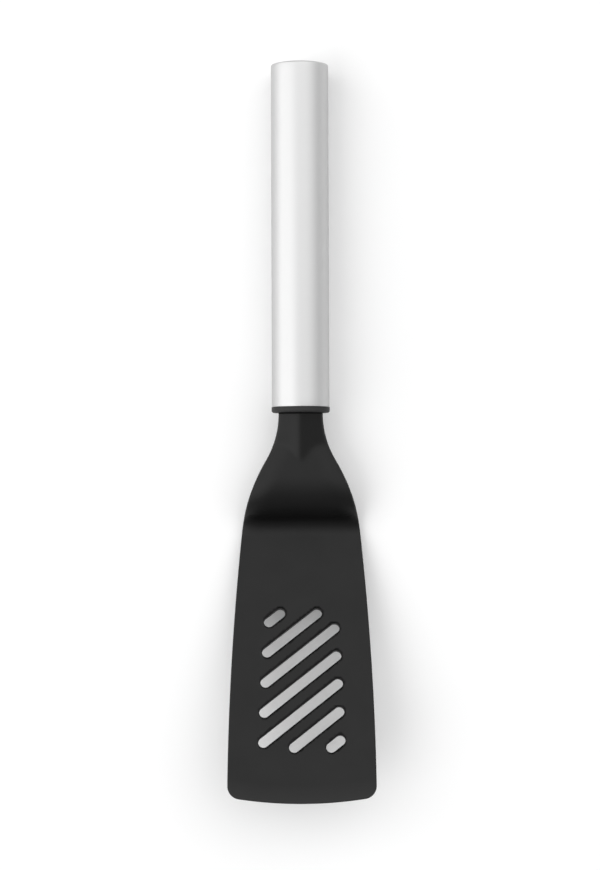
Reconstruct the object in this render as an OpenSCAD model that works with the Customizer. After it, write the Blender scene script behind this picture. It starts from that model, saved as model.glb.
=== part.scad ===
// Slotted kitchen turner: a steel tube handle, a plastic collar and a moulded nylon head.
// It lies as it rests on a table, on the far end of its handle and the heel of its blade.
// The table is Z = 0, the handle's far end points to +Y and the tip of the blade to -Y.

/* [Handle tube] */
// Outer diameter of the steel tube
tube_d = 25; // [23:0.5:28]
// Wall thickness of the tube and of its end cap
tube_wall = 0.8; // [0.6:0.1:1]
// Length of the tube from its mouth to its far end
tube_len = 149.3; // [120:0.1:180]
// Radius that rounds the tube's far edge
rim_r = 0.7; // [0.3:0.1:0.8]
// Radius that breaks the tube's edge at the mouth
mouth_r = 0.25; // [0.1:0.05:0.3]
// Diameter of the hanging hole in the underside
hang_d = 7; // [5:0.5:9]
// Distance from the tube's far end to the middle of the hanging hole
hang_inset = 17; // [14:0.5:26]
// Length of the end cap's skirt inside the tube
cap_skirt = 6; // [4:0.5:8]
// Outer bend radius of the end cap
cap_bend_r = 1.2; // [1.1:0.1:2]

/* [Collar and plug] */
// Diameter of the collar that shows at the tube's mouth
collar_d = 25.3; // [25:0.1:28.5]
// Thickness of the collar
collar_t = 2.4; // [1.8:0.1:4]
// Radius that rounds the collar's front edge
collar_r = 1; // [0.3:0.1:1.2]
// Length of the plug inside the tube
plug_len = 30; // [22:1:40]
// Gap between the plug's sleeve and the tube
plug_gap = 0.35; // [0.2:0.05:0.5]
// Wall of the plug's sleeve, socket and webs
plug_wall = 1.6; // [1.2:0.1:2]
// Number of webs between the socket and the sleeve
web_count = 6; // [3:1:8]
// Width of a crush rib on the sleeve
rib_w = 1.2; // [0.8:0.1:2]

/* [Tang] */
// Diameter of the tang's round rod
tang_d = 8; // [6:0.5:8.5]
// How far the rod reaches into the neck
rod_reach = 6; // [4:0.5:7]
// Number of grooves along the rod's gripped end
groove_count = 10; // [6:1:16]
// Diameter of the tool that cuts a groove
groove_d = 1.2; // [0.6:0.1:1.6]
// Depth of the ring groove that keys the rod in its socket
ring_groove = 0.6; // [0.3:0.1:0.8]
// Width of the flattened paddle inside the neck
paddle_w = 10.4; // [9:0.1:11]
// Thickness of the paddle
paddle_t = 2.4; // [1.6:0.1:2.6]
// Length of the paddle past the end of the rod
paddle_len = 9.5; // [8:0.5:10.5]
// How far the paddle's middle lies under the rod's axis
paddle_drop = 0.6; // [0:0.1:1]
// Diameter of the hole through the paddle, which the moulding fills
paddle_hole_d = 4; // [3:0.5:5]

/* [Head seen from the side] */
// Height of the shoulder's top face over the handle's axis
shoulder_rise = 2; // [1.5:0.1:3]
// Depth of the neck at the collar, from the shoulder's level down
neck_t = 7.6; // [7:0.1:9]
// Thickness of the shoulder
shoulder_t = 5.6; // [5.2:0.1:7]
// Distance from the tube's mouth to the start of the crank
crank_at = 29.9; // [28:0.1:40]
// Radius of the crank's upper bend, on its top face
bend_r = 20; // [17:0.5:20.5]
// Radius of the crank's lower bend, on its top face
fillet_r = 7; // [5:0.5:7.5]
// Steepest slope of the crank against the handle's axis
crank_angle = 64; // [56:1:65]
// Depth of the heel under the handle's axis
heel_depth = 18; // [17.5:0.5:24]
// Angle by which the blade rises against the handle's axis
blade_angle = 14.5; // [10:0.5:18]
// Length of the blade's flat face, from the crank to the tip
blade_len = 117.3; // [105:0.1:130]
// Thickness of the blade at the crank
root_t = 4.3; // [3.5:0.1:4.8]
// Thickness of the blade where its front bevel starts
bevel_t = 1.5; // [1.2:0.1:2]
// Thickness of the front edge
tip_t = 0.9; // [0.7:0.1:1.1]
// Length of the front bevel
bevel_len = 5.6; // [5:0.1:7]

/* [Head seen from above] */
// Width of the neck at the collar
neck_w = 19.2; // [18:0.1:22]
// Distance from the tube's mouth to the middle of the flare
flare_at = 22.9; // [20:0.1:27]
// Width at the middle of the flare
flare_w = 30.3; // [27:0.1:35]
// Growth of each half of the width there, per unit of length
flare_slope = 0.58; // [0.4:0.01:0.7]
// Distance from the tube's mouth to the blade's root
root_at = 55; // [50:0.5:65]
// Width at the blade's root
root_w = 52.1; // [48:0.1:58]
// Growth of each half of the width there, per unit of length
root_slope = 0.1; // [0.05:0.01:0.15]
// Width of the blade at its front corners
tip_w = 64; // [58:0.1:68]
// Radius of the curved front edge
front_r = 180; // [140:5:260]
// Radius of the two front corners
corner_r = 5.7; // [4:0.1:7]

/* [Edges and ridge] */
// Radius that rounds the edges of the neck and shoulder
shoulder_edge_r = 2.3; // [1.5:0.1:2.5]
// Radius that rounds the side edges of the blade
blade_edge_r = 0.7; // [0.4:0.1:1]
// Distance from the tube's mouth to where the ridge has run out
ridge_end = 23.5; // [18:0.5:26]
// Fall of the ridge's crest per unit of length
ridge_fall = 0.25; // [0.2:0.01:0.3]
// Slope of the ridge's two flanks
ridge_angle = 20; // [15:1:24]
// Radius that softens the crest of the ridge
crest_r = 1.2; // [0.5:0.1:2]
// Half height over which the flanks blend into the shoulder
ridge_blend = 0.4; // [0.1:0.05:0.6]
// Width of the band along each side in which the shoulder falls away
crown_w = 10; // [6:0.5:12]
// How far the shoulder's sides lie under its middle
crown_drop = 2.2; // [1:0.1:2.4]
// Distance past the crank over which the fallen sides fade out
crown_fade = 8; // [4:1:12]

/* [Slots] */
// Number of slots
slot_count = 7; // [1:1:7]
// Width of a slot
slot_w = 4.5; // [3.5:0.1:5.5]
// Angle between the slots and the front edge
slot_angle = 38.5; // [35:0.5:45]
// Distance between neighbouring slots, square to them
slot_pitch = 9.94; // [8.5:0.01:10]
// Distance from the tip to where the middle slot crosses the centre line
slot_middle = 52.1; // [50:0.1:56]
// Distance from the blade's side to the middle of a slot's round end
slot_margin = 15.2; // [13:0.1:17]
// Distance from the tip to the slot ends that are nearest to it
field_front = 24.1; // [20:0.1:28]
// Distance from the tip to the slot ends that are furthest from it
field_back = 82.8; // [76:0.1:90]

/* [Hidden] */
$fn = 96;

// Assembly clearance between parts that are pressed or moulded together
seat_gap = 0.02;
// How far a cutting tool runs past the face that it cuts
overrun = 1;

tube_r = tube_d / 2;
bore_r = tube_r - tube_wall;
tang_r = tang_d / 2;
socket_r = tang_r + seat_gap;

// The rows of the head's loft, stretch by stretch
neck_rows = 11;
bend_rows = 10;
fillet_rows = 12;
blade_rows = 10;
corner_rows = 7;
// Points across the top face, and around each rounded edge
across = 14;
around = 4;
// Largest share of the thickness that one edge radius may take
edge_share = 0.42;
// Step over which a slope is measured
probe = 0.01;

// The side profile's arcs, in the handle's frame: y along its axis, z up, zero at the tube's mouth.
// A slope is counted up from the handle's axis, so it is negative where the crank goes down.
function ahead(slope) = [-cos(slope), sin(slope)];
function square_to(slope) = [sin(slope), cos(slope)];
bend_c = [-crank_at, shoulder_rise - bend_r];
bend_end = bend_c + bend_r * square_to(-crank_angle);
fillet_z = fillet_r + root_t - heel_depth;
wall_run = (bend_end[1] - fillet_z + fillet_r * cos(crank_angle)) / sin(crank_angle);
wall_end = bend_end + wall_run * ahead(-crank_angle);
fillet_c = wall_end + fillet_r * square_to(-crank_angle);
blade_start = fillet_c - fillet_r * square_to(blade_angle);
tip = blade_start + blade_len * ahead(blade_angle);
function blade_point(d) = blade_start + d * ahead(blade_angle);

// The angle at which the turner rests on its far rim and its heel, and the lift to the table
heel_r = fillet_r + root_t;
rest_run = tube_len - rim_r - fillet_c[0];
rest_drop = fillet_c[1] + tube_r - rim_r;
rest_angle = asin((heel_r - rim_r) / norm([rest_run, rest_drop])) - atan2(rest_drop, rest_run);
rest_lift = heel_r + fillet_c[0] * sin(rest_angle) - fillet_c[1] * cos(rest_angle);
// The two ends along Y after that turn, so that the origin is in the middle between them
far_y = (tube_len - rim_r) * cos(rest_angle) + (tube_r - rim_r) * sin(rest_angle) + rim_r;
edge_top = tip - (bevel_t - tip_t) * square_to(blade_angle);
edge_low = tip - bevel_t * square_to(blade_angle);
function turned_y(p) = p[0] * cos(rest_angle) + p[1] * sin(rest_angle);
near_y = min(turned_y(edge_top), turned_y(edge_low));

// A smooth curve between two stations [place, value, growth]
function between(a, b, x) =
    let (h = b[0] - a[0], t = (x - a[0]) / h)
    (2 * t ^ 3 - 3 * t ^ 2 + 1) * a[1] + (t ^ 3 - 2 * t ^ 2 + t) * h * a[2]
    + (3 * t ^ 2 - 2 * t ^ 3) * b[1] + (t ^ 3 - t ^ 2) * h * b[2];

// Half the head's width at a distance from the tube's mouth
outline = [
    [collar_t, neck_w / 2, 0],
    [flare_at, flare_w / 2, flare_slope],
    [root_at, root_w / 2, root_slope],
    [-tip[0], tip_w / 2, 0],
];
function half_width(a) =
    a < flare_at ? between(outline[0], outline[1], a)
    : a < root_at ? between(outline[1], outline[2], a)
    : between(outline[2], outline[3], a);

// How far the curved front edge falls back at a distance from the centre line
function front_sag(x) = front_r - sqrt(front_r ^ 2 - x ^ 2);

// The front corner is an arc that touches the blade's side and its curved front edge
corner_turn = 90 - asin((tip_w / 2 - corner_r) / (front_r - corner_r));
corner_half = tip_w / 2 - corner_r * (1 - cos(corner_turn));
corner_d = blade_len - front_sag(corner_half) - corner_r * sin(corner_turn);
bevel_d = blade_len - bevel_len - front_sag(tip_w / 2);

// Zero below -k, the value itself above k and a smooth bend between them
function soft_floor(v, k) = v >= k ? v : v <= -k ? 0 : (v + k) ^ 2 / (4 * k);
function roof(x, crest) = crest - tan(ridge_angle) * (sqrt(x ^ 2 + crest_r ^ 2) - crest_r);

// The shoulder's sides fall away in a band along the outline, which narrows and fades down the crank.
// A crown is [half width, drop at the side, width of the band].
function crown(half, share) = [half, crown_drop * (1 - share), crown_w * (1 - share / 2)];
function fall(x, crown) = -crown[1] * max(0, 1 - (crown[0] - abs(x)) / crown[2]) ^ 2;
function rise(x, crest, crown) =
    let (level = fall(x, crown)) level + soft_floor(roof(x, crest) - level, ridge_blend);

// One section of the head across its length, as [across, up] points: the upper half of the loop from
// left to right, then the lower half from right to left. The face that the rows follow is at zero.
function section(half, top, bottom, edge_r, crest, crown) =
    let (
        edge = min(edge_r, edge_share * (top + rise(half, crest, crown) - bottom)),
        x0 = half - edge,
        lean = atan((rise(x0 - probe, crest, crown) - rise(x0, crest, crown)) / probe),
        xs = x0 + edge * sin(lean),
        yc = top + rise(xs, crest, crown) - edge * cos(lean),
        upper_side = [for (j = [0 : around - 1]) let (q = (90 - lean) * j / around)
            [x0 + edge * cos(q), yc + edge * sin(q)]],
        upper_face = [for (i = [0 : across]) let (x = xs * (1 - 2 * i / across))
            [x, top + rise(x, crest, crown)]],
        lower_side = [for (j = [0 : around - 1]) let (q = 90 * j / around)
            [x0 + edge * cos(q), bottom + edge - edge * sin(q)]],
        lower_face = [for (i = [0 : across]) [x0 * (1 - 2 * i / across), bottom]],
        upper = concat(upper_side, upper_face, [for (j = [around - 1 : -1 : 0]) mirrored(upper_side[j])]),
        lower = concat(lower_side, lower_face, [for (j = [around - 1 : -1 : 0]) mirrored(lower_side[j])])
    )
    concat([for (i = [len(upper) - 1 : -1 : 0]) upper[i]], lower);
function mirrored(p) = [-p[0], p[1]];

// A row of the loft: [point on the side profile, slope, half width, top, bottom, edge radius, bow,
// share of the crown's run that lies behind it]. The bow is how far the two ends lie behind the middle.
function neck_row(a) = [[-a, shoulder_rise], 0, half_width(a), 0,
    -between([collar_t, neck_t, 0], [crank_at, shoulder_t, 0], a), shoulder_edge_r, 0, 0];
function crank_row(p, slope, share, faded) =
    let (t = shoulder_t + share * (root_t - shoulder_t))
    [p, slope, half_width(-p[0]), 0, -t, shoulder_edge_r + share * (blade_edge_r - shoulder_edge_r), 0, faded];
function blade_row(d, half, bow) =
    let (
        mid = d + bow,
        bottom = -root_t + (root_t - bevel_t) * min(1, mid / (blade_len - bevel_len)),
        top = -(bevel_t - tip_t) * max(0, mid - blade_len + bevel_len) / bevel_len
    )
    [blade_point(mid), blade_angle, half, top, bottom, blade_edge_r, bow,
        min(1, (crown_run - crown_fade + mid) / crown_run)];
function side_half(d) = half_width(-blade_point(d)[0]);

// Lengths of the crank's stretches along the top face, and the length over which the crown fades
function arc(r, angle) = r * angle * PI / 180;
bend_run = arc(bend_r, crank_angle);
fillet_run = arc(fillet_r, crank_angle + blade_angle);
crown_run = bend_run + wall_run + fillet_run + crown_fade;

rows = concat(
    [for (i = [0 : neck_rows]) neck_row(collar_t + seat_gap + (crank_at - collar_t - seat_gap) * i / neck_rows)],
    [for (i = [1 : bend_rows]) let (share = i / bend_rows, q = -crank_angle * share)
        crank_row(bend_c + bend_r * square_to(q), q, share, share * bend_run / crown_run)],
    [for (i = [0 : fillet_rows])
        let (share = i / fillet_rows, q = -crank_angle + (crank_angle + blade_angle) * share)
        crank_row(fillet_c - fillet_r * square_to(q), q, 1,
            (bend_run + wall_run + share * fillet_run) / crown_run)],
    [for (i = [1 : blade_rows]) let (d = bevel_d * i / blade_rows, half = side_half(d))
        blade_row(d, half, front_sag(half) * i / blade_rows)],
    [for (i = [0 : corner_rows]) let (q = corner_turn * i / corner_rows,
        d = corner_d + corner_r * sin(q), half = side_half(d) - corner_r * (1 - cos(q)))
        blade_row(d, half, front_sag(half))]
);

// Places a row's section on the side profile. The sides are cut straight down, as a mould's are, so a
// point takes the width of the outline right under itself.
function row_points(r) =
    let (up = square_to(r[1]), on = ahead(r[1]), crest = ridge_fall * (ridge_end + r[0][0]))
    [for (p = section(r[2], r[3], r[4], r[5], crest, crown(r[2], r[7])))
        let (q = r[0] + p[1] * up, bowed = q - r[6] * (p[0] / r[2]) ^ 2 * on)
        [p[0] * half_width(-q[0]) / half_width(-r[0][0]), bowed[0], bowed[1]]];

// A closed solid through rows of points that all have the same count
module loft(loops) {
    n = len(loops[0]);
    last = (len(loops) - 1) * n;
    polyhedron(
        points = [for (l = loops) each l],
        faces = concat(
            [for (k = [0 : len(loops) - 2], j = [0 : n - 1]) let (a = k * n + j, b = k * n + (j + 1) % n)
                each [[a, b, b + n], [a, b + n, a + n]]],
            [for (j = [0 : n / 2 - 2]) each [[j, n - 1 - j, n - 2 - j], [j, n - 2 - j, j + 1]]],
            [for (j = [0 : n / 2 - 2]) each [[last + j, last + n - 2 - j, last + n - 1 - j],
                [last + j, last + j + 1, last + n - 2 - j]]]
        ),
        convexity = 8
    );
}

// A slot's centre line runs from the blade's left side to its right side, cut short by the slot field
function slot_s(q, x) = q + x * tan(slot_angle);
function slot_limit(q, side, x, tries) =
    tries == 0 ? x
    : slot_limit(q, side, side * (side_half(blade_len - slot_s(q, x)) - slot_margin), tries - 1);
settle_tries = 6;
module slot_cutter(q) {
    side_x = tip_w / 2 - slot_margin;
    x0 = max(slot_limit(q, -1, -side_x, settle_tries), (field_front - q) / tan(slot_angle));
    x1 = min(slot_limit(q, 1, side_x, settle_tries), (field_back - q) / tan(slot_angle));
    run = (x1 - x0) / cos(slot_angle);
    depth = root_t + 2 * overrun;
    translate([x0, slot_s(q, x0), -root_t - overrun])
        rotate([0, 0, slot_angle]) {
            cylinder(r = slot_w / 2, h = depth);
            translate([run, 0, 0]) cylinder(r = slot_w / 2, h = depth);
            translate([0, -slot_w / 2, 0]) cube([run, slot_w, depth]);
        }
}

// Places what is drawn on the blade: x across, y from the tip towards the crank, z out of the top face
module on_blade() {
    translate([0, tip[0], tip[1]]) rotate([-blade_angle, 0, 0]) children();
}

// Turns a profile of [radius, height] points around the handle's axis, with its height along +Y
module turn() {
    rotate([-90, 0, 0]) rotate_extrude() children();
}

// Lays the handle's frame on the table
module at_rest() {
    translate([0, -(far_y + near_y) / 2, rest_lift]) rotate([-rest_angle, 0, 0]) children();
}

module tube_profile() {
    difference() {
        translate([bore_r, 0]) square([tube_wall, tube_len]);
        translate([tube_r - rim_r, tube_len - rim_r]) difference() {
            square(rim_r + overrun);
            circle(r = rim_r);
        }
        translate([tube_r - mouth_r, mouth_r]) difference() {
            translate([0, -mouth_r - overrun]) square([mouth_r + overrun, mouth_r + overrun]);
            circle(r = mouth_r);
        }
    }
}

module handle_tube() {
    color("silver") at_rest() difference() {
        turn() tube_profile();
        translate([0, tube_len - hang_inset, -tube_r - overrun])
            cylinder(r = hang_d / 2, h = tube_wall + overrun + tube_r / 2);
    }
}

// A pressed cup whose face closes the tube's far end, with its skirt inside the tube
module end_cap() {
    r = bore_r - seat_gap;
    inner_bend = cap_bend_r - tube_wall;
    color("gainsboro") at_rest() translate([0, tube_len, 0]) turn() {
        translate([0, -tube_wall]) square([r - cap_bend_r, tube_wall]);
        translate([r - tube_wall, -cap_skirt]) square([tube_wall, cap_skirt - cap_bend_r]);
        translate([r - cap_bend_r, -cap_bend_r]) intersection() {
            difference() {
                circle(r = cap_bend_r);
                circle(r = inner_bend);
            }
            square(cap_bend_r);
        }
    }
}

// The flange that shows, and behind it a ribbed sleeve with a socket for the tang
module collar() {
    sleeve_r = bore_r - plug_gap;
    socket_wall_r = socket_r + plug_wall;
    color("dimgray") at_rest() {
        difference() {
            union() {
                turn() difference() {
                    translate([0, -collar_t]) square([collar_d / 2, collar_t]);
                    translate([collar_d / 2 - collar_r, collar_r - collar_t]) difference() {
                        translate([0, -collar_r - overrun]) square([collar_r + overrun, collar_r + overrun]);
                        circle(r = collar_r);
                    }
                }
                turn() translate([sleeve_r - plug_wall, 0]) square([plug_wall, plug_len]);
                turn() square([socket_wall_r, plug_len]);
                for (i = [0 : web_count - 1])
                    rotate([0, 360 * i / web_count, 0])
                        translate([socket_r + plug_wall / 2, 0, -plug_wall / 2])
                            cube([sleeve_r - socket_r - plug_wall, plug_len, plug_wall]);
                intersection() {
                    for (i = [0 : web_count - 1])
                        rotate([0, 360 * i / web_count, 0])
                            translate([sleeve_r - plug_wall / 2, 0, -rib_w / 2])
                                cube([plug_wall, plug_len - plug_wall, rib_w]);
                    turn() square([bore_r - seat_gap, plug_len]);
                }
            }
            translate([0, -collar_t - overrun, 0]) turn() square([socket_r, plug_len + collar_t + 2 * overrun]);
        }
    }
}

// The tang's outline with a gap all round: a rod along the axis and a flat paddle at its front end
module tang_body(gap) {
    front = collar_t + rod_reach;
    translate([0, -front - gap, 0]) turn() square([tang_r + gap, front + plug_len + gap]);
    translate([0, -front - paddle_len, -paddle_drop - paddle_t / 2 - gap])
        linear_extrude(height = paddle_t + 2 * gap) {
            translate([0, paddle_w / 2]) circle(r = paddle_w / 2 + gap);
            translate([-paddle_w / 2 - gap, paddle_w / 2])
                square([paddle_w + 2 * gap, paddle_len - paddle_w / 2 + gap]);
        }
}

// Where the moulding fills the hole in the paddle
module paddle_pin(gap) {
    translate([0, paddle_w / 2 - collar_t - rod_reach - paddle_len, -paddle_drop - paddle_t / 2 - overrun])
        cylinder(r = paddle_hole_d / 2 - gap, h = paddle_t + 2 * overrun);
}

module tang() {
    grip = plug_len / 2;
    color("darkgray") at_rest() difference() {
        tang_body(0);
        paddle_pin(0);
        for (i = [0 : groove_count - 1])
            rotate([0, 360 * i / groove_count, 0]) translate([tang_r, grip, 0])
                turn() square([groove_d / 2, grip + overrun]);
        translate([0, grip / 2, 0]) turn() translate([tang_r - ring_groove, 0])
            square([ring_groove + overrun, 2 * ring_groove]);
    }
}

// The neck, shoulder, crank and blade as one lofted moulding, with the tang's seat and the slots
module head() {
    color("#333333") at_rest() difference() {
        loft([for (r = rows) row_points(r)]);
        difference() {
            tang_body(seat_gap);
            paddle_pin(seat_gap);
        }
        on_blade() for (i = [0 : slot_count - 1])
            slot_cutter(slot_middle + (i - (slot_count - 1) / 2) * slot_pitch / cos(slot_angle));
    }
}

handle_tube();
end_cap();
collar();
tang();
head();
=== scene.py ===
# %% [markdown]
# # A slotted turner, seen from straight above
#
# The object is a kitchen turner: a tube of matt stainless steel, a thin charcoal collar and one black
# nylon moulding with a neck, a step down and a long slotted blade. The CAD model holds every piece at
# its real size, in the pose in which the turner lies on a table. This script loads it as a fixed frame
# and gives each surface that shows its real finish, in three steps: meshes, materials, light.

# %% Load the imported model
from math import asin, atan2, ceil, cos, hypot, pi, radians, sin, tan
import bpy
import numpy as np
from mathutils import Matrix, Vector
from mathutils.geometry import delaunay_2d_cdt


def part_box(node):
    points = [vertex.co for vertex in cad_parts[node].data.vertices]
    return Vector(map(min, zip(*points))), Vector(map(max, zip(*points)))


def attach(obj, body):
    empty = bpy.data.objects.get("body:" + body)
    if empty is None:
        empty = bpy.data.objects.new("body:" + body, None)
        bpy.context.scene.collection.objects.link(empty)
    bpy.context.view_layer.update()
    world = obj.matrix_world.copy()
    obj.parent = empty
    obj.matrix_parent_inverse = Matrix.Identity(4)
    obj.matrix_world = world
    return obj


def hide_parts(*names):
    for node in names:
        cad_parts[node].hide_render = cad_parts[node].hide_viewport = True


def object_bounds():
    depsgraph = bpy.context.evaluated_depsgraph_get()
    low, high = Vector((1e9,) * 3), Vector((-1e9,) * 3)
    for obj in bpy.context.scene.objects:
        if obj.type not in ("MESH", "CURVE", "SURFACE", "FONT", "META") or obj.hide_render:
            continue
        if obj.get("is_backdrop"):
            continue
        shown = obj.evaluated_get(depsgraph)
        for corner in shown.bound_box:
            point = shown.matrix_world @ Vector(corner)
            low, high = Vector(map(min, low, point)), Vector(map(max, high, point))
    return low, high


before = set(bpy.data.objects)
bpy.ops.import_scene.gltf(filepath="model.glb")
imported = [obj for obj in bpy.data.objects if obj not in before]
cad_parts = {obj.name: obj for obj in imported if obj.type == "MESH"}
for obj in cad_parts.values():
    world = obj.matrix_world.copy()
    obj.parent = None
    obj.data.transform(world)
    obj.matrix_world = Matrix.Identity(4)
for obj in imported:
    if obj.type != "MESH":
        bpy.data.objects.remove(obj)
cad_low, cad_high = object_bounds()
print("nodes:", sorted(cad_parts), "box in mm:", [round(v * 1000, 1) for v in cad_high - cad_low])

# %% [markdown]
# ## The sizes
#
# The two pieces that show most, the steel tube and the nylon head, get finer meshes than the CAD ones.
# Both start from the same driving sizes as the CAD model, in millimetres, so that they land in the same
# place. The angle at which the turner rests, and where its middle is, follow from those sizes.

# %% Sizes in millimetres and degrees
MM = 0.001
tube_d, tube_wall, tube_len, rim_r, mouth_r = 25.0, 0.8, 149.3, 0.7, 0.25
hang_d, hang_inset = 7.0, 17.0
collar_t, seat_gap = 2.4, 0.02
shoulder_rise, neck_t, shoulder_t = 2.0, 7.6, 5.6
crank_at, bend_r, fillet_r, crank_angle, heel_depth = 29.9, 20.0, 7.0, 64.0, 18.0
blade_angle, blade_len, root_t, bevel_t, tip_t, bevel_len = 14.5, 117.3, 4.3, 1.5, 0.9, 5.6
neck_w, flare_at, flare_w, flare_slope = 19.2, 22.9, 30.3, 0.58
root_at, root_w, root_slope = 55.0, 52.1, 0.1
tip_w, front_r, corner_r = 64.0, 180.0, 5.7
shoulder_edge_r, blade_edge_r, edge_share = 2.3, 0.7, 0.42
ridge_end, ridge_fall, ridge_angle, crest_r, ridge_blend = 23.5, 0.25, 20.0, 1.2, 0.4
crown_w, crown_drop, crown_fade = 10.0, 2.2, 8.0
slot_count, slot_w, slot_angle, slot_pitch = 7, 4.5, 38.5, 9.94
slot_middle, slot_margin, field_front, field_back = 52.1, 15.2, 24.1, 82.8


def ahead(slope):
    """The direction along the side profile where it slopes up by that many degrees, as (y, z)."""
    return np.array([-cos(radians(slope)), sin(radians(slope))])


def square_to(slope):
    """The direction out of the top face there."""
    return np.array([sin(radians(slope)), cos(radians(slope))])


bend_centre = np.array([-crank_at, shoulder_rise - bend_r])
bend_end = bend_centre + bend_r * square_to(-crank_angle)
fillet_z = fillet_r + root_t - heel_depth
wall_run = (bend_end[1] - fillet_z + fillet_r * cos(radians(crank_angle))) / sin(radians(crank_angle))
wall_end = bend_end + wall_run * ahead(-crank_angle)
fillet_centre = wall_end + fillet_r * square_to(-crank_angle)
blade_start = fillet_centre - fillet_r * square_to(blade_angle)
tip = blade_start + blade_len * ahead(blade_angle)

tube_r, heel_r = tube_d / 2, fillet_r + root_t
rest_run = tube_len - rim_r - fillet_centre[0]
rest_drop = fillet_centre[1] + tube_r - rim_r
rest = asin((heel_r - rim_r) / hypot(rest_run, rest_drop)) - atan2(rest_drop, rest_run)
rest_lift = heel_r + fillet_centre[0] * sin(rest) - fillet_centre[1] * cos(rest)
far_y = (tube_len - rim_r) * cos(rest) + (tube_r - rim_r) * sin(rest) + rim_r


def turned_y(point):
    return point[0] * cos(rest) + point[1] * sin(rest)


near_y = min(turned_y(tip - drop * square_to(blade_angle)) for drop in (bevel_t - tip_t, bevel_t))
middle_y = (far_y + near_y) / 2


def at_rest(points):
    """Turns points of the handle's frame, in millimetres, into points of the shared frame, in metres."""
    x, y, z = np.asarray(points, float).T
    turned = [x, y * cos(rest) + z * sin(rest) - middle_y, -y * sin(rest) + z * cos(rest) + rest_lift]
    return np.stack(turned, axis=1) * MM


head_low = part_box("head")[0]
print("tip from the sizes:", at_rest([[0, *tip]])[0].round(5), " in the CAD model:", round(head_low.y, 5))

# %% [markdown]
# ## A flat pattern, filled with triangles
#
# A blade with slots has a face with holes in it. A grid with holes cut out of it leaves ragged rims that
# shade badly. So each face is made as a dressmaker makes a sleeve: a flat pattern is drawn first, with
# its rims as loops of points, and is then filled with even triangles. The constrained Delaunay fill
# keeps every loop as it was drawn. The pattern is curved or rolled into its real form afterwards.

# %% Helpers for flat patterns
MERGE_GAP = 1e-7


def inside(points, loop):
    """Which of the points lie inside a closed loop, by counting how often a ray crosses it."""
    x, y = points[:, 0][:, None], points[:, 1][:, None]
    x0, y0 = loop[:, 0], loop[:, 1]
    x1, y1 = np.roll(x0, -1), np.roll(y0, -1)
    span = np.where(y1 == y0, 1.0, y1 - y0)
    crossing = ((y0 > y) != (y1 > y)) & (x < x0 + (y - y0) * (x1 - x0) / span)
    return crossing.sum(1) % 2 == 1


def gap_to(points, loop):
    """The distance from each point to the nearest corner of a loop whose corners lie close together."""
    return np.min(np.hypot(points[:, :1] - loop[:, 0], points[:, 1:2] - loop[:, 1]), axis=1)


def fill(loops, lines, grid, clearance):
    """Fills the first loop, less the others, with triangles. Returns all points and the triangles.
    The loops' points come first, in order, then those of the crease lines, then the grid's."""
    keep = inside(grid, loops[0]) & (gap_to(grid, loops[0]) > clearance)
    for hole in loops[1:]:
        keep &= ~inside(grid, hole) & (gap_to(grid, hole) > clearance)
    for line in lines:
        keep &= gap_to(grid, line) > clearance
    points = np.concatenate([*loops, *lines, grid[keep]])
    edges, start = [], 0
    for loop in loops:
        edges += [(start + i, start + (i + 1) % len(loop)) for i in range(len(loop))]
        start += len(loop)
    for line in lines:
        edges += [(start + i, start + i + 1) for i in range(len(line) - 1)]
        start += len(line)
    out, _, faces, origin, _, _ = delaunay_2d_cdt([Vector(p) for p in points], edges, [], 0, MERGE_GAP)
    source = [ids[0] for ids in origin]
    triangles = np.array([[source[i] for i in face] for face in faces])
    middles = points[triangles].mean(1)
    wanted = inside(middles, loops[0])
    for hole in loops[1:]:
        wanted &= ~inside(middles, hole)
    triangles = triangles[wanted]
    a, b, c = (points[triangles[:, i]] for i in range(3))
    turned = (b - a)[:, 0] * (c - a)[:, 1] - (b - a)[:, 1] * (c - a)[:, 0] < 0
    triangles[turned] = triangles[turned][:, ::-1]
    return points, triangles


def even(start, stop, step):
    """Numbers from start to stop, evenly spaced, about one step apart."""
    return np.linspace(start, stop, max(2, ceil(abs(stop - start) / step) + 1))


def make_mesh(name, points, faces, flat=None):
    """A smooth-shaded mesh object from points in metres, with the pattern's own place as a UV map."""
    mesh = bpy.data.meshes.new(name)
    mesh.from_pydata([tuple(p) for p in points], [], [tuple(f) for f in faces])
    mesh.polygons.foreach_set("use_smooth", [True] * len(mesh.polygons))
    if flat is not None:
        layer = mesh.uv_layers.new(name="Pattern")
        corners = np.empty(len(mesh.loops), int)
        mesh.loops.foreach_get("vertex_index", corners)
        layer.data.foreach_set("uv", np.asarray(flat)[corners].ravel())
    obj = bpy.data.objects.new(name, mesh)
    bpy.context.scene.collection.objects.link(obj)
    return obj


# %% [markdown]
# ## The head's surface as a rule
#
# The moulding is a plate whose thickness changes along its length: thick in the neck, thinner over the
# crank, and a long wedge in the blade, with a short bevel to the front edge. The shoulder is crowned: its
# sides fall away along the outline. Over the neck stands a soft ridge, like a low roof, that runs out
# into the shoulder in a V. These functions give the height of the top face and of the underside at any
# place of the flat pattern. In the pattern, x runs across the head and y is minus the distance from the
# collar, measured along the top face.

# %% The side profile and the widths along it
neck_run = crank_at - collar_t - seat_gap
bend_run = bend_r * radians(crank_angle)
fillet_run = fillet_r * radians(crank_angle + blade_angle)
blade_at = neck_run + bend_run + wall_run + fillet_run
head_run = blade_at + blade_len


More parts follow.
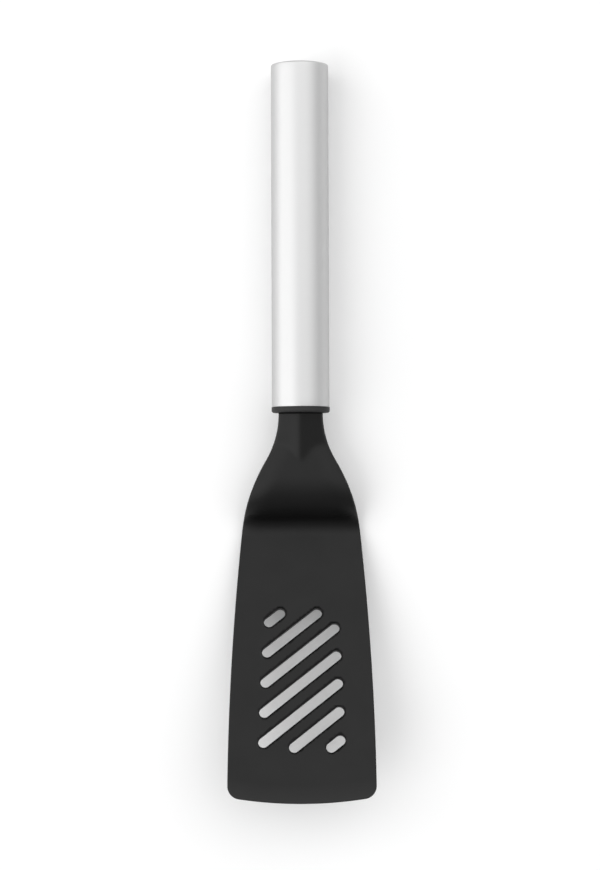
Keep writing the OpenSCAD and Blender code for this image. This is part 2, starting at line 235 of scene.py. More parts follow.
def profile_place(run):
    """The point (y, z) of the top face's side profile at a distance along it, and its slope there."""
    if run < neck_run:
        return np.array([-collar_t - seat_gap - run, shoulder_rise]), 0.0
    run -= neck_run
    if run < bend_run:
        slope = -crank_angle * run / bend_run
        return bend_centre + bend_r * square_to(slope), slope
    run -= bend_run
    if run < wall_run:
        return bend_end + run * ahead(-crank_angle), -crank_angle
    run -= wall_run
    if run < fillet_run:
        slope = -crank_angle + (crank_angle + blade_angle) * run / fillet_run
        return fillet_centre - fillet_r * square_to(slope), slope
    return blade_start + (run - fillet_run) * ahead(blade_angle), blade_angle


profile_samples = 4001
profile_runs = np.linspace(0, head_run, profile_samples)
profile_places = [profile_place(run) for run in profile_runs]
profile_y, profile_slope = np.array([(place[0], slope) for place, slope in profile_places]).T


def between(a, b, x):
    """A smooth curve between two stations (place, value, growth)."""
    h = b[0] - a[0]
    t = (x - a[0]) / h
    return ((2 * t**3 - 3 * t**2 + 1) * a[1] + (t**3 - 2 * t**2 + t) * h * a[2]
            + (3 * t**2 - 2 * t**3) * b[1] + (t**3 - t**2) * h * b[2])


stations = [(collar_t, neck_w / 2, 0), (flare_at, flare_w / 2, flare_slope),
            (root_at, root_w / 2, root_slope), (-tip[0], tip_w / 2, 0)]


def half_at(a):
    """Half the head's width at a distance from the tube's mouth."""
    neck, flare, blade = (between(one, two, a) for one, two in zip(stations, stations[1:]))
    return np.where(a < flare_at, neck, np.where(a < root_at, flare, blade))


def half_width(run):
    """The same at a distance along the top face."""
    return half_at(-np.interp(run, profile_runs, profile_y))


# %% Heights of the two faces over the flat pattern
def soft_floor(v, k):
    """Zero below -k, the value itself above k, and a smooth bend between them."""
    return np.where(v >= k, v, np.where(v <= -k, 0.0, (v + k) ** 2 / (4 * k)))


def front_sag(x):
    """How far the curved front edge falls back at a distance from the centre line."""
    return front_r - np.sqrt(front_r**2 - np.asarray(x, float) ** 2)


def roof(x, run):
    """Height of the ridge's flanks over the shoulder's level."""
    crest = ridge_fall * (ridge_end - collar_t - seat_gap - run)
    return crest - tan(radians(ridge_angle)) * (np.sqrt(x**2 + crest_r**2) - crest_r)


bevel_d = blade_len - bevel_len - front_sag(tip_w / 2)
bevel_ease = 0.5


def fall(x, run):
    """How the shoulder's sides fall away in a band that narrows and fades down the crank."""
    share = np.clip((run - neck_run) / (blade_at + crown_fade - neck_run), 0, 1)
    band = crown_w * (1 - share / 2)
    return -crown_drop * (1 - share) * np.maximum(0, 1 - (half_width(run) - np.abs(x)) / band) ** 2


def along_blade(x, run):
    """Distance along the blade, counted on lines that bow with the front edge."""
    d = run - blade_at
    return d + front_sag(x) * np.clip(d / bevel_d, 0, 1)


def top_height(x, run):
    drop = soft_floor(along_blade(x, run) - (blade_len - bevel_len), bevel_ease)
    level = fall(x, run)
    ridge = np.where(run < neck_run, soft_floor(roof(x, run) - level, ridge_blend), 0.0)
    return level + ridge - drop * (bevel_t - tip_t) / bevel_len


def thickness(x, run):
    neck = between((collar_t, neck_t, 0), (crank_at, shoulder_t, 0), collar_t + seat_gap + run)
    bend = shoulder_t + (root_t - shoulder_t) * np.clip((run - neck_run) / bend_run, 0, 1)
    wedge = root_t - (root_t - bevel_t) * np.clip(along_blade(x, run) / (blade_len - bevel_len), 0, 1)
    return np.where(run < neck_run, neck, np.where(run < blade_at, bend, wedge))


print("head, along its top face:", round(float(head_run), 1), "mm")

# %% [markdown]
# ## The head's outline and its seven slots
#
# Seen flat, the neck flares into the shoulder in an S, the blade widens gently to its front corners, and
# the front edge is a wide arc. The slots are parallel, a fixed distance apart, and each is cut short
# where it would come too near a side or leave the slot field. One rule places them all. Each outline is
# a loop of points with its inward normals, so that any line at a distance from it is one step away.

# %% The head's outline
corner_turn = pi / 2 - asin((tip_w / 2 - corner_r) / (front_r - corner_r))
corner_half = tip_w / 2 - corner_r * (1 - cos(corner_turn))
corner_run = head_run - float(front_sag(corner_half)) - corner_r * sin(corner_turn)
step, fine_turn = 1.0, radians(6)

side = [(half_width(run), -run) for run in even(0, corner_run, step)]
corner = []
for q in even(0, corner_turn, fine_turn)[1:]:
    run = corner_run + corner_r * sin(q)
    corner.append((half_width(run) - corner_r * (1 - cos(q)), -run))
front = [(x, -head_run + float(front_sag(x))) for x in even(corner_half, -corner_half, step)[1:-1]]
right = side + corner
rim = np.array(right + front + [(-x, y) for x, y in reversed(right)])


def inward(points, closed):
    """Unit normals that point to the left of the way the points run."""
    if closed:
        way = np.roll(points, -1, 0) - np.roll(points, 1, 0)
    else:
        way = np.gradient(points, axis=0)
    way /= np.hypot(way[:, 0], way[:, 1])[:, None]
    return np.stack([-way[:, 1], way[:, 0]], axis=1)


rim_in = -inward(rim, closed=False)
rim_in[0], rim_in[-1] = (-1, 0), (1, 0)
print("outline points:", len(rim), " widest:", round(2 * float(rim[:, 0].max()), 2), "mm")


# %% The slots
cap_turn, settle_rounds = radians(9), 6


def slot_end(crossing, side_sign):
    """The middle of a slot's round end: near the blade's side, or where the slot field stops."""
    rise = tan(radians(slot_angle))
    x = side_sign * (tip_w / 2 - slot_margin)
    for _ in range(settle_rounds):
        x = side_sign * (half_width(head_run - crossing - x * rise) - slot_margin)
    limit = ((field_back if side_sign > 0 else field_front) - crossing) / rise
    x = min(x, limit) if side_sign > 0 else max(x, limit)
    return np.array([x, -head_run + crossing + x * rise])


def stadium(start, end, radius):
    """A loop round two points, clockwise, with its outward normals."""
    lean = atan2(end[1] - start[1], end[0] - start[0])
    length = hypot(*(end - start))
    turns = even(pi / 2, -pi / 2, cap_turn)
    cap_end = [(cos(lean + q), sin(lean + q)) for q in turns]
    cap_start = [(-x, -y) for x, y in cap_end]
    runs = even(0, length, step)[1:-1] / length
    up = np.array([-sin(lean), cos(lean)])
    top_side = [start + (end - start) * t for t in runs]
    centres = top_side + [end] * len(cap_end) + top_side[::-1] + [start] * len(cap_start)
    normals = [up] * len(runs) + cap_end + [-up] * len(runs) + cap_start
    return np.array(centres) + radius * np.array(normals), np.array(normals)


slots = []
for i in range(slot_count):
    crossing = slot_middle + (i - (slot_count - 1) / 2) * slot_pitch / cos(radians(slot_angle))
    slots.append(stadium(slot_end(crossing, -1), slot_end(crossing, 1), slot_w / 2))
print("slots:", len(slots), " points round each:", [len(points) for points, _ in slots])

# %% [markdown]
# ## The head's mesh
#
# Each rim gets a rounded edge, because a moulding never has a sharp one: a large radius round the neck
# and shoulder, a small one along the blade, and a tiny one in the slots. A rounded edge is a stack of
# loops that step inwards and down along a quarter circle. The two faces are filled between the innermost
# loops, and strips of quads join everything into one closed body.

# %% Build the head flat
slot_edge_r = 0.15
arc_steps, slot_arc_steps = 7, 3
rim_run = -rim[:, 1]
bend_part = np.clip((rim_run - neck_run) / bend_run, 0, 1)
edge_r = shoulder_edge_r + (blade_edge_r - shoulder_edge_r) * bend_part
edge_r = np.minimum(edge_r, edge_share * (thickness(rim[:, 0], rim_run) + top_height(rim[:, 0], rim_run)))
flat_x, probe = np.abs(rim[:, 0]) - edge_r, 0.01
flank = (top_height(flat_x - probe, rim_run) - top_height(flat_x, rim_run)) / probe
lean = np.where(rim_run < blade_at + crown_fade, np.arctan(flank), 0.0)


def edge_rings(points, normals, radius, lean, steps):
    """Loops from the top face over a rounded rim to the underside, as arrays of (x, y, height)."""
    rings = []
    flat_top = points + normals * (radius * (1 - np.sin(lean)))[:, None]
    face = top_height(flat_top[:, 0], -flat_top[:, 1])
    centre = face - radius * np.cos(lean)
    for j in range(steps + 1):
        q = (pi / 2 - lean) * (1 - j / steps)
        p = points + normals * (radius * (1 - np.cos(q)))[:, None]
        rings.append(np.column_stack([p, centre + radius * np.sin(q)]))
    flat_low = points + normals * radius[:, None]
    low = -thickness(flat_low[:, 0], -flat_low[:, 1])
    for j in range(steps + 1):
        q = pi / 2 * j / steps
        p = points + normals * (radius * (1 - np.cos(q)))[:, None]
        rings.append(np.column_stack([p, low + radius * (1 - np.sin(q))]))
    return rings


outer = edge_rings(rim, rim_in, edge_r, lean, arc_steps)
holes = [edge_rings(points, normals, np.full(len(points), slot_edge_r), np.zeros(len(points)), slot_arc_steps)
         for points, normals in slots]

grid_step, neck_step = 1.15, 0.9
grid_clearance = 0.45 * grid_step
rows = np.concatenate([even(0, blade_at, neck_step), even(blade_at, head_run, grid_step)[1:]])
columns = even(-tip_w / 2, tip_w / 2, grid_step)
grid = np.array([(x, -run) for run in rows for x in columns])
crease_half = tip_w / 2 - 2 * blade_edge_r
crease_x = even(-crease_half, crease_half, grid_step)
creases = [np.column_stack([crease_x, front_sag(crease_x) - head_run + bevel_len + ease])
           for ease in (-bevel_ease, 0, bevel_ease)]
collar_step_share = 0.1
collar_shares = even(-1, 1, collar_step_share)[1:-1]


def face_of(ring_index):
    """One face of the head: the filled area between the rim's and the slots' innermost loops."""
    edge = outer[ring_index][:, :2]
    back = [(share * edge[0, 0], 0.0) for share in collar_shares]
    loops = [np.concatenate([edge, back])] + [hole[ring_index][:, :2] for hole in holes]
    points, triangles = fill(loops, creases, grid, grid_clearance)
    if ring_index == 0:
        height = top_height(points[:, 0], -points[:, 1])
    else:
        height = -thickness(points[:, 0], -points[:, 1])
    return np.column_stack([points, height]), triangles, [len(loop) for loop in loops]


def build_head():
    """Joins the two faces, the rounded rims and the end at the collar into one closed body."""
    top, top_faces, sizes = face_of(0)
    low, low_faces, _ = face_of(-1)
    points = [top, low]
    faces = [list(f) for f in top_faces] + [list(f[::-1] + len(top)) for f in low_faces]
    count = len(top) + len(low)
    start = 0
    for number, rings in enumerate([outer] + holes):
        n = len(rings[0])
        ids = [np.arange(start, start + n)]
        for ring in rings[1:-1]:
            points.append(ring)
            ids.append(np.arange(count, count + n))
            count += n
        ids.append(np.arange(start, start + n) + len(top))
        last = n - 1 if number == 0 else n
        for a, b in zip(ids, ids[1:]):
            faces += [[a[i], a[(i + 1) % n], b[(i + 1) % n], b[i]] for i in range(last)]
        if number == 0:
            back = [start + n + i for i in range(len(collar_shares))]
            end_loop = [r[0] for r in ids] + [b + len(top) for b in reversed(back)]
            end_loop += [r[-1] for r in reversed(ids)] + back
            points.append(np.array([[0.0, 0.0, -shoulder_rise]]))
            faces += [[end_loop[i], end_loop[(i + 1) % len(end_loop)], count] for i in range(len(end_loop))]
            count += 1
        start += sizes[number]
    return np.concatenate(points), faces


head_points, head_faces = build_head()
head_flat = head_points[:, :2].copy()
print("head:", len(head_points), "points,", len(head_faces), "faces")

# %% Cut the sides straight down, as a mould's are: each point takes the outline's width right under itself
point_run = -head_points[:, 1]
point_y = np.interp(point_run, profile_runs, profile_y)
sunk = head_points[:, 2] * np.sin(np.radians(np.interp(point_run, profile_runs, profile_slope)))
head_points[:, 0] *= half_at(-point_y - sunk) / half_at(-point_y)

# %% [markdown]
# ## Bending the pattern along the side profile
#
# The real part is moulded, but its crank has the form of a flat plate bent along a curve, so a small
# Geometry Nodes tree does just that. It walks along the side profile by each point's distance from the
# collar, takes the place and direction found there, and sets the point across and above it. The tree's
# inputs are the curve and the material, so another profile would bend the same pattern another way.

# %% A helper that adds a node, and one that runs a tree
def add(tree, kind, inputs=None, **settings):
    """Adds a node with its settings. An input that is a socket is linked, any other value is set."""
    node = tree.nodes.new(kind)
    for name, value in settings.items():
        setattr(node, name, value)
    for key, value in (inputs or {}).items():
        if isinstance(value, bpy.types.NodeSocket):
            tree.links.new(value, node.inputs[key])
        else:
            node.inputs[key].default_value = value
    return node


def new_tree(name, sockets):
    """A geometry tree with a mesh in and out and further named inputs."""
    tree = bpy.data.node_groups.new(name, "GeometryNodeTree")
    tree.interface.new_socket("Pattern", in_out="INPUT", socket_type="NodeSocketGeometry")
    for label, kind in sockets:
        tree.interface.new_socket(label, in_out="INPUT", socket_type=kind)
    tree.interface.new_socket("Form", in_out="OUTPUT", socket_type="NodeSocketGeometry")
    return tree, tree.nodes.new("NodeGroupInput").outputs


def run_tree(obj, tree, values):
    """Shapes an object with a tree and keeps the result as its plain mesh."""
    modifier = obj.modifiers.new(tree.name, "NODES")
    modifier.node_group = tree
    for item in tree.interface.items_tree:
        if item.in_out == "INPUT" and item.name in values:
            modifier[item.identifier] = values[item.name]
    graph = bpy.context.evaluated_depsgraph_get()
    mesh = bpy.data.meshes.new_from_object(obj.evaluated_get(graph), depsgraph=graph)
    obj.modifiers.remove(modifier)
    obj.data = mesh
    return obj


# %% Bend the head
def bending_tree():
    tree, given = new_tree("Bend along a profile", [("Profile", "NodeSocketObject"),
                                                    ("Material", "NodeSocketMaterial")])
    place = add(tree, "ShaderNodeSeparateXYZ", {0: add(tree, "GeometryNodeInputPosition").outputs[0]})
    run = add(tree, "ShaderNodeMath", {0: place.outputs["Y"], 1: -1.0}, operation="MULTIPLY")
    curve = add(tree, "GeometryNodeObjectInfo", {"Object": given["Profile"]})
    found = add(tree, "GeometryNodeSampleCurve", {"Curves": curve.outputs["Geometry"],
                                                  "Length": run.outputs[0]}, mode="LENGTH")
    found.use_all_curves = True
    out = add(tree, "ShaderNodeVectorMath", {0: found.outputs["Tangent"], 1: (1.0, 0.0, 0.0)},
              operation="CROSS_PRODUCT")
    lifted = add(tree, "ShaderNodeVectorMath", {0: out.outputs[0], "Scale": place.outputs["Z"]},
                 operation="SCALE")
    across = add(tree, "ShaderNodeCombineXYZ", {"X": place.outputs["X"]})
    shifted = add(tree, "ShaderNodeVectorMath", {0: lifted.outputs[0], 1: across.outputs[0]}, operation="ADD")
    target = add(tree, "ShaderNodeVectorMath", {0: shifted.outputs[0], 1: found.outputs["Position"]},
                 operation="ADD")
    moved = add(tree, "GeometryNodeSetPosition", {"Geometry": given["Pattern"],
                                                  "Position": target.outputs[0]})
    real = add(tree, "GeometryNodeRealizeInstances", {0: moved.outputs[0]})
    dressed = add(tree, "GeometryNodeSetMaterial", {"Geometry": real.outputs[0],
                                                    "Material": given["Material"]})
    add(tree, "NodeGroupOutput", {0: dressed.outputs[0]})
    return tree


def profile_curve():
    """The side profile of the head's top face as a curve, close enough in its bends to look round."""
    bend_step, fillet_step = 0.25, 0.15
    bend = even(neck_run, neck_run + bend_run, bend_step)
    fillet = even(blade_at - fillet_run, blade_at, fillet_step)
    runs = np.concatenate([[0.0], bend, fillet, [head_run]])
    places = at_rest([[0.0, *profile_place(run)[0]] for run in runs])
    data = bpy.data.curves.new("Side profile", "CURVE")
    data.dimensions = "3D"
    spline = data.splines.new("POLY")
    spline.points.add(len(places) - 1)
    spline.points.foreach_set("co", np.column_stack([places, np.ones(len(places))]).ravel())
    obj = bpy.data.objects.new("Side profile", data)
    bpy.context.scene.collection.objects.link(obj)
    return obj


profile = profile_curve()
head = make_mesh("nylon_head", head_points * MM, head_faces, flat=head_flat * MM)

# %% [markdown]
# ## The handle's tube as rolled sheet
#
# The handle is a steel tube with a hanging hole in its underside. Real tube is rolled from sheet, and
# the same thing works here: one flat pattern for the outer face and one for the inner, each with the
# hole in it, are joined by rounded rims and rolled up round the axis by a second tree. The seam lies
# along the top, opposite the hole, where the two sides meet exactly and are merged.

# %% Build the tube flat
bore_r = tube_r - tube_wall
hole_y = tube_len - hang_inset
hole_edge_r, rim_steps = 0.12, 5
around_step, along_step, hole_clearance = 2.4, 3.0, 0.35
around_n = 4 * round(pi * tube_r / around_step)
hole_n = 64


def tube_face(radius, low_y, high_y, hole_grow):
    """The flat pattern of one face of the tube, as (turn, y), where turn is the angle times the radius."""
    turns = np.linspace(-pi, pi, around_n + 1)
    q = np.linspace(0, 2 * pi, hole_n + 1)[:-1]
    r = hang_d / 2 + hole_grow
    hole = np.column_stack([np.arcsin(r * np.sin(q) / radius), hole_y + r * np.cos(q)])
    ys = even(low_y, high_y, along_step)
    bottom = [(t, low_y) for t in turns]
    top = [(t, high_y) for t in turns[::-1]]
    loop = bottom + [(pi, y) for y in ys[1:-1]] + top + [(-pi, y) for y in ys[-2:0:-1]]
    grid = np.array([(t, y) for y in ys for t in turns])
    scale = np.array([radius, 1.0])
    points, triangles = fill([np.array(loop) * scale, hole * scale], [], grid * scale, hole_clearance)
    return points / scale, triangles, len(turns), len(loop)


def build_tube():
    """Points as (angle, y, radius) and the faces of the whole tube."""
    out, out_faces, n, edge = tube_face(tube_r, mouth_r, tube_len - rim_r, hole_edge_r)
    low, low_faces, _, low_edge = tube_face(bore_r, 0.0, tube_len - rim_r, 0.0)
    points = [np.column_stack([out, np.full(len(out), tube_r)]),
              np.column_stack([low, np.full(len(low), bore_r)])]
    faces = [list(f) for f in out_faces] + [list(f[::-1] + len(out)) for f in low_faces]
    count = len(out) + len(low)
    turns = out[:n, 0]

    def strip(a, b, closed=False):
        last = len(a) if closed else len(a) - 1
        return [[a[i], b[i], b[(i + 1) % len(a)], a[(i + 1) % len(a)]] for i in range(last)]

    def ring(y, radius):
        nonlocal count
        points.append(np.column_stack([turns, np.full(n, y), np.full(n, radius)]))
        count += n
        return list(range(count - n, count))

    mouth = [list(range(n))]
    for j in range(1, rim_steps + 1):
        q = pi / 2 * j / rim_steps
        mouth.append(ring(mouth_r - mouth_r * sin(q), tube_r - mouth_r + mouth_r * cos(q)))
    mouth.append([len(out) + i for i in range(n)])
    far_start = n + len(even(mouth_r, tube_len - rim_r, along_step)) - 2
    far = [[far_start + i for i in range(n)][::-1]]
    for j in range(1, rim_steps + 1):
        q = pi / 2 * j / rim_steps
        far.append(ring(tube_len - rim_r + rim_r * sin(q), tube_r - rim_r + rim_r * cos(q)))
    far.append(ring(tube_len, bore_r))
    low_far = n + len(even(0.0, tube_len - rim_r, along_step)) - 2
    far.append([len(out) + low_far + i for i in range(n)][::-1])
    for a, b in zip(mouth, mouth[1:]):
        faces.extend(strip(a, b))
    for a, b in zip(far, far[1:]):
        faces.extend(strip(b, a))

    q = np.linspace(0, 2 * pi, hole_n + 1)[:-1]
    hole = [[edge + i for i in range(hole_n)]]
    for j in range(1, rim_steps + 1):
        s = pi / 2 * j / rim_steps
        r = hang_d / 2 + hole_edge_r * (1 - sin(s))
        x, depth = r * np.sin(q), tube_r - hole_edge_r * (1 - cos(s))
        points.append(np.column_stack([np.arcsin(x / depth), hole_y + r * np.cos(q), np.full(hole_n, depth)]))
        hole.append(list(range(count, count + hole_n)))
        count += hole_n
    hole.append([len(out) + low_edge + i for i in range(hole_n)])
    for a, b in zip(hole, hole[1:]):
        faces.extend(strip(a, b, closed=True))
    return np.concatenate(points), faces


tube_points, tube_faces = build_tube()
print("tube:", len(tube_points), "points,", len(tube_faces), "faces")


# %% Roll the tube up
def rolling_tree():
    tree, given = new_tree("Roll round an axis", [("Merge distance", "NodeSocketFloat"),
                                                  ("Material", "NodeSocketMaterial")])
    place = add(tree, "ShaderNodeSeparateXYZ", {0: add(tree, "GeometryNodeInputPosition").outputs[0]})
    sine = add(tree, "ShaderNodeMath", {0: place.outputs["X"]}, operation="SINE")
    cosine = add(tree, "ShaderNodeMath", {0: place.outputs["X"]}, operation="COSINE")
    across = add(tree, "ShaderNodeMath", {0: sine.outputs[0], 1: place.outputs["Z"]}, operation="MULTIPLY")
    down = add(tree, "ShaderNodeMath", {0: cosine.outputs[0], 1: place.outputs["Z"]}, operation="MULTIPLY")
    up = add(tree, "ShaderNodeMath", {0: down.outputs[0], 1: -1.0}, operation="MULTIPLY")
    target = add(tree, "ShaderNodeCombineXYZ", {"X": across.outputs[0], "Y": place.outputs["Y"],
                                                "Z": up.outputs[0]})
    moved = add(tree, "GeometryNodeSetPosition", {"Geometry": given["Pattern"],
                                                  "Position": target.outputs[0]})
    merged = add(tree, "GeometryNodeMergeByDistance", {"Geometry": moved.outputs[0],
                                                       "Distance": given["Merge distance"]})
    real = add(tree, "GeometryNodeRealizeInstances", {0: merged.outputs[0]})
    dressed = add(tree, "GeometryNodeSetMaterial", {"Geometry": real.outputs[0],
                                                    "Material": given["Material"]})
    add(tree, "NodeGroupOutput", {0: dressed.outputs[0]})
    return tree


rolled_out = tube_points * np.array([1, MM, MM])
tube_flat = np.column_stack([tube_points[:, 0] * tube_r, tube_points[:, 1]]) * MM
tube = make_mesh("steel_tube", rolled_out, tube_faces, flat=tube_flat)

# %% [markdown]
# ## Materials
#
# Colours are written as they look on a screen and turned to linear light by one function. Each material
# is named for what the piece is really made of and how its surface was made.

# %% Colour and material helpers
def linear(code):
    """A screen colour such as #808080 as linear light with full alpha."""
    parts = [int(code[i:i + 2], 16) / 255 for i in (1, 3, 5)]
    return tuple(c / 12.92 if c <= 0.04045 else ((c + 0.055) / 1.055) ** 2.4 for c in parts) + (1.0,)


def new_material(name, colour, metallic, roughness):
    """A material with its Principled shader, ready for more nodes."""
    material = bpy.data.materials.new(name)
    material.use_nodes = True
    tree = material.node_tree
    shader = tree.nodes["Principled BSDF"]
    shader.inputs["Base Color"].default_value = linear(colour)
    shader.inputs["Metallic"].default_value = metallic
    shader.inputs["Roughness"].default_value = roughness
    return material, tree, shader


def per_mm(size):
    """The noise scale at which one swing is about that many millimetres wide."""
    return 1 / (size * MM)


noise_low, noise_high = 0.3, 0.7


# %% [markdown]
# ### Matt stainless steel
#
# The tube is stainless steel with a satin finish, ground round and round with a fine belt and then
# blasted. The scratches and pits are a few hundredths of a millimetre wide, far finer than a pixel, so
# they act as one wide, even blur, which is the roughness here. Steel mirrors a little less where it is
# seen at a flat angle, as at the tube's two sides, and the specular tint stands for that. A faint ring
# grain is left of the belt. It is drawn coarser than the real one, so that it shows close up.

# %% Make the steel
ring_length, ring_width = 9, 0.35


def satin_steel(name, colour, roughness):
    """Steel with a faint ring grain round the handle's axis, in its roughness and its colour."""
    material, tree, shader = new_material(name, colour, 1.0, roughness)
    shader.inputs["Specular Tint"].default_value = linear("#DCDCDC")
    coordinates = add(tree, "ShaderNodeTexCoord")
    turned = add(tree, "ShaderNodeMapping", {"Vector": coordinates.outputs["Object"],
                                             "Rotation": (rest, 0.0, 0.0)})
    scale = (per_mm(ring_length), per_mm(ring_width), per_mm(ring_length))
    rings = add(tree, "ShaderNodeVectorMath", {0: turned.outputs[0], 1: scale}, operation="MULTIPLY")
    scratch = add(tree, "ShaderNodeTexNoise", {"Vector": rings.outputs[0], "Scale": 1.0, "Detail": 3.0,
                                               "Roughness": 0.6})
    rough = add(tree, "ShaderNodeMapRange", {"Value": scratch.outputs["Fac"], "From Min": noise_low,
                                             "From Max": noise_high, "To Min": roughness - 0.02,
                                             "To Max": roughness + 0.03})
    tree.links.new(rough.outputs[0], shader.inputs["Roughness"])
    shade = add(tree, "ShaderNodeMapRange", {"Value": scratch.outputs["Fac"], "From Min": noise_low,
                                             "From Max": noise_high, "To Min": 0.992, "To Max": 1.0})
    tint = add(tree, "ShaderNodeMix", {0: 1.0, 6: linear(colour), 7: shade.outputs[0]},
               data_type="RGBA", blend_type="MULTIPLY")
    tree.links.new(tint.outputs[2], shader.inputs["Base Color"])
    return material


steel = satin_steel("stainless steel, belt ground and blasted", "#CFCFCF", 0.5)
core_steel = satin_steel("stainless steel, drawn rod", "#BDBBB8", 0.35)
cap_steel = satin_steel("stainless steel, pressed and blasted", "#CFCFCF", 0.5)
print("steels:", [m.name for m in (steel, core_steel, cap_steel)])


# %% [markdown]
# ### Black nylon and charcoal nylon
#
# The head is nylon filled with glass fibre and moulded in a tool with a fine spark-eroded texture, which
# gives a deep grey satin. Its colour is nearly black. What the eye sees on it is mostly the white room,
# spread by the texture. The texture's grains are about 0.15 mm wide. A paler grey is painted along the
# blade's front edge: a painted highlight, where the bevel catches the light. The collar is plain nylon,
# finer and duller: it mirrors little, so its own charcoal grey shows evenly round the tube's mouth.

# %% Make the plastics
cloud_width, grain_height = 14, 0.01
# The second grey is not the nylon's own colour: it is a painted highlight for the front bevel.
nylon_black, front_highlight_grey = "#080808", "#191919"


def moulded_nylon(name, colour, roughness, gloss, grain_mm):
    """Nylon with a fine moulded grain as bump and wide, faint clouds in its roughness."""
    material, tree, shader = new_material(name, colour, 0.0, roughness)
    shader.inputs["Specular IOR Level"].default_value = gloss
    coordinates = add(tree, "ShaderNodeTexCoord")
    texture = add(tree, "ShaderNodeTexNoise", {"Vector": coordinates.outputs["Object"],
                                               "Scale": per_mm(grain_mm), "Detail": 2.0, "Roughness": 0.5})
    bump = add(tree, "ShaderNodeBump", {"Height": texture.outputs["Fac"], "Strength": 0.25,
                                        "Distance": grain_height * MM})
    tree.links.new(bump.outputs[0], shader.inputs["Normal"])
    cloud = add(tree, "ShaderNodeTexNoise", {"Vector": coordinates.outputs["Object"],
                                             "Scale": per_mm(cloud_width), "Detail": 3.0})
    rough = add(tree, "ShaderNodeMapRange", {"Value": cloud.outputs["Fac"], "From Min": noise_low,
                                             "From Max": noise_high, "To Min": roughness - 0.03,
                                             "To Max": roughness + 0.03})
    tree.links.new(rough.outputs[0], shader.inputs["Roughness"])
    return material


def paint_front_highlight(material, colour, highlight_colour, band_mm, full_mm):
    """Paints a highlight into a material's colour: paler towards the bowed front edge, where the bevel
    catches the light. Where the band starts and where it is fully pale are distances from that edge."""
    tree = material.node_tree
    place = add(tree, "ShaderNodeTexCoord").outputs["Object"]
    bow_centre = at_rest([[0.0, *(tip - front_r * ahead(blade_angle))]])[0]
    reach = add(tree, "ShaderNodeVectorMath", {0: place, 1: tuple(bow_centre)}, operation="DISTANCE")
    share = add(tree, "ShaderNodeMapRange", {"Value": reach.outputs["Value"],
                                             "From Min": (front_r - band_mm) * MM,
                                             "From Max": (front_r - full_mm) * MM})
    # This mix paints the highlight's paler grey over the nylon's own colour near the front edge.
    mixed = add(tree, "ShaderNodeMix", {0: share.outputs[0], 6: linear(colour), 7: linear(highlight_colour)},
                data_type="RGBA")
    tree.links.new(mixed.outputs[2], tree.nodes["Principled BSDF"].inputs["Base Color"])


nylon = moulded_nylon("nylon with glass fibre, moulded satin", nylon_black, 0.5, 0.307, 0.15)
# Paints a highlight along the front edge, where the bevel catches the light.
paint_front_highlight(nylon, nylon_black, front_highlight_grey, 8.0, 1.0)
charcoal = moulded_nylon("nylon, moulded matt, charcoal", "#363636", 0.5, 0.08, 0.1)

# %% Dress the pieces
head = run_tree(head, bending_tree(), {"Profile": profile, "Material": nylon})
bpy.data.objects.remove(profile)
tube = run_tree(tube, rolling_tree(), {"Merge distance": 0.001 * MM, "Material": steel})
rolled = np.empty(len(tube.data.vertices) * 3)
tube.data.vertices.foreach_get("co", rolled)
tube.data.vertices.foreach_set("co", at_rest(rolled.reshape(-1, 3) / MM).ravel())
for node, material in (("end_cap", cap_steel), ("collar", charcoal), ("tang", core_steel)):
    for material_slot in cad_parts[node].material_slots:
        material_slot.material = material
for piece, node, slot in ((head, "head", "nylon"), (tube, "handle_tube", "steel")):
    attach(piece, "root")
    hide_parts(node)

# %% [markdown]
# ## Floor, light and camera
#
# The photograph was taken from straight above, on white paper, among big soft lights. The room is the
# world: a dark sky with eight wide glows, each brightest in one direction. The strongest stands low on
# the left, and most of the others stand at the back and on the right. So the steel is light on its left
# side and grey on its right, and the front of the crank stays dark. Three broad lamps on the left give
# the paper its soft shadow. The paper also shines a little of its own, but only to the camera and in what
# is mirrored or seen through, so that it looks white without throwing more light on the turner.

# %% Floor
floor_half, paper_shine = 3.0, 0.12
floor_corners = [(-floor_half, -floor_half, 0), (floor_half, -floor_half, 0),
                 (floor_half, floor_half, 0), (-floor_half, floor_half, 0)]
floor_mesh = bpy.data.meshes.new("floor")
floor_mesh.from_pydata(floor_corners, [], [(0, 1, 2, 3)])
floor = bpy.data.objects.new("floor", floor_mesh)
bpy.context.scene.collection.objects.link(floor)
floor_material, floor_tree, floor_shader = new_material("white paper", "#EBEBEB", 0.0, 1.0)
floor_shader.inputs["Specular IOR Level"].default_value = 0.0
ray = add(floor_tree, "ShaderNodeLightPath").outputs
mirrored = add(floor_tree, "ShaderNodeMath", {0: ray["Is Glossy Ray"], 1: ray["Is Transmission Ray"]},
               operation="MAXIMUM")
looked_at = add(floor_tree, "ShaderNodeMath", {0: ray["Is Camera Ray"], 1: mirrored.outputs[0]},
                operation="MAXIMUM")
shine = add(floor_tree, "ShaderNodeMath", {0: looked_at.outputs[0], 1: paper_shine}, operation="MULTIPLY")
floor_shader.inputs["Emission Color"].default_value = linear("#FFFFFF")
floor_tree.links.new(shine.outputs[0], floor_shader.inputs["Emission Strength"])
floor_mesh.materials.append(floor_material)
floor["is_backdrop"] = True

# %% Light
world = bpy.data.worlds.new("white room")
bpy.context.scene.world = world
world.use_nodes = True
room = world.node_tree
room.nodes.clear()


def towards(elevation, azimuth):
    """The direction to a light. The azimuth is counted from +X towards +Y, both in degrees."""
    up, round_z = radians(elevation), radians(azimuth)
    return Vector((cos(up) * cos(round_z), cos(up) * sin(round_z), sin(up)))


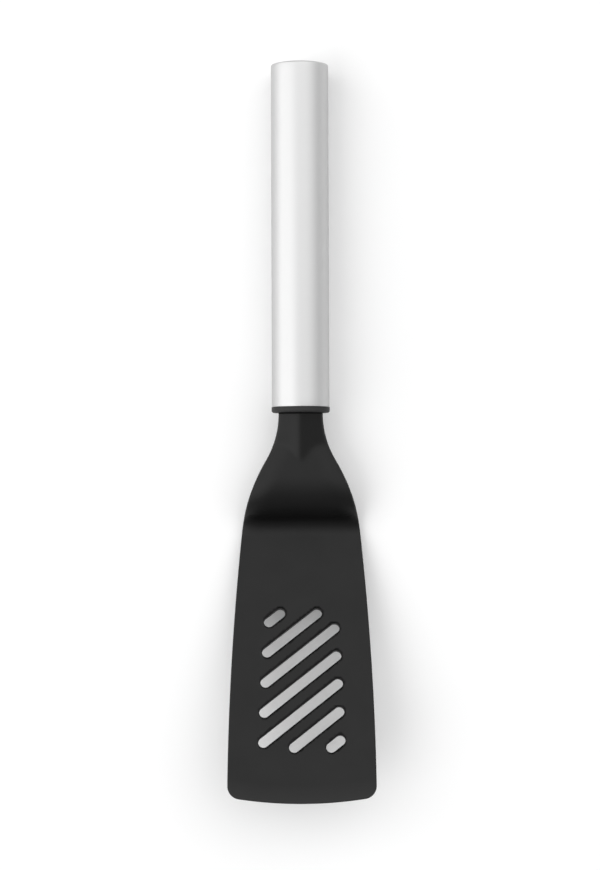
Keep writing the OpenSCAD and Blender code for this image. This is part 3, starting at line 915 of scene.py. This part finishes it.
glows = [(90, 0, 0.426), (55, 0, 0.602), (55, 60, 1.002), (55, 120, 0.724),
         (25, 0, 0.42), (25, 45, 0.608), (2, 180, 2.638), (2, 270, 0.553)]
glow_focus = 6.0
sky = add(room, "ShaderNodeTexCoord").outputs["Generated"]
total = 0.0
for elevation, azimuth, strength in glows:
    facing = add(room, "ShaderNodeVectorMath", {0: sky, 1: towards(elevation, azimuth)},
                 operation="DOT_PRODUCT")
    front = add(room, "ShaderNodeMath", {0: facing.outputs["Value"], 1: 0.0}, operation="MAXIMUM")
    spread = add(room, "ShaderNodeMath", {0: front.outputs[0], 1: glow_focus}, operation="POWER")
    total = add(room, "ShaderNodeMath", {0: spread.outputs[0], 1: strength, 2: total},
                operation="MULTIPLY_ADD").outputs[0]
light = add(room, "ShaderNodeBackground", {"Color": linear("#FFFFFF"), "Strength": total})
add(room, "ShaderNodeOutputWorld", {"Surface": light.outputs[0]})

lamps = [("low back left", 30, 150, 0.174), ("high back left", 50, 150, 0.255),
         ("high front left", 50, 210, 0.809)]
lamp_width = radians(40)
for name, elevation, azimuth, energy in lamps:
    lamp_data = bpy.data.lights.new(name, "SUN")
    lamp_data.energy, lamp_data.angle = energy, lamp_width
    lamp = bpy.data.objects.new(name, lamp_data)
    lamp.rotation_euler = towards(elevation, azimuth).to_track_quat("Z", "Y").to_euler()
    bpy.context.scene.collection.objects.link(lamp)
bpy.context.scene.view_settings.view_transform = "Standard"

# %% Camera
image_height_px, focal_px = 870, 2500
camera_height, camera_x, camera_y = 1.103, -0.00034, -0.00198
camera_roll = radians(-0.2)
camera_data = bpy.data.cameras.new("overhead")
camera_data.sensor_fit = "VERTICAL"
camera_data.sensor_height = 24.0
camera_data.lens = camera_data.sensor_height * focal_px / image_height_px
camera = bpy.data.objects.new("overhead", camera_data)
camera.location = (camera_x, camera_y, camera_height)
camera.rotation_euler = (0.0, 0.0, camera_roll)
bpy.context.scene.collection.objects.link(camera)
bpy.context.scene.camera = camera

# %% Sizes for comparison, and the end
low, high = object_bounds()
growth = [round((a - b) / MM, 3) for a, b in zip(high - low, cad_high - cad_low)]
print("larger than the CAD box by, in mm:", growth)
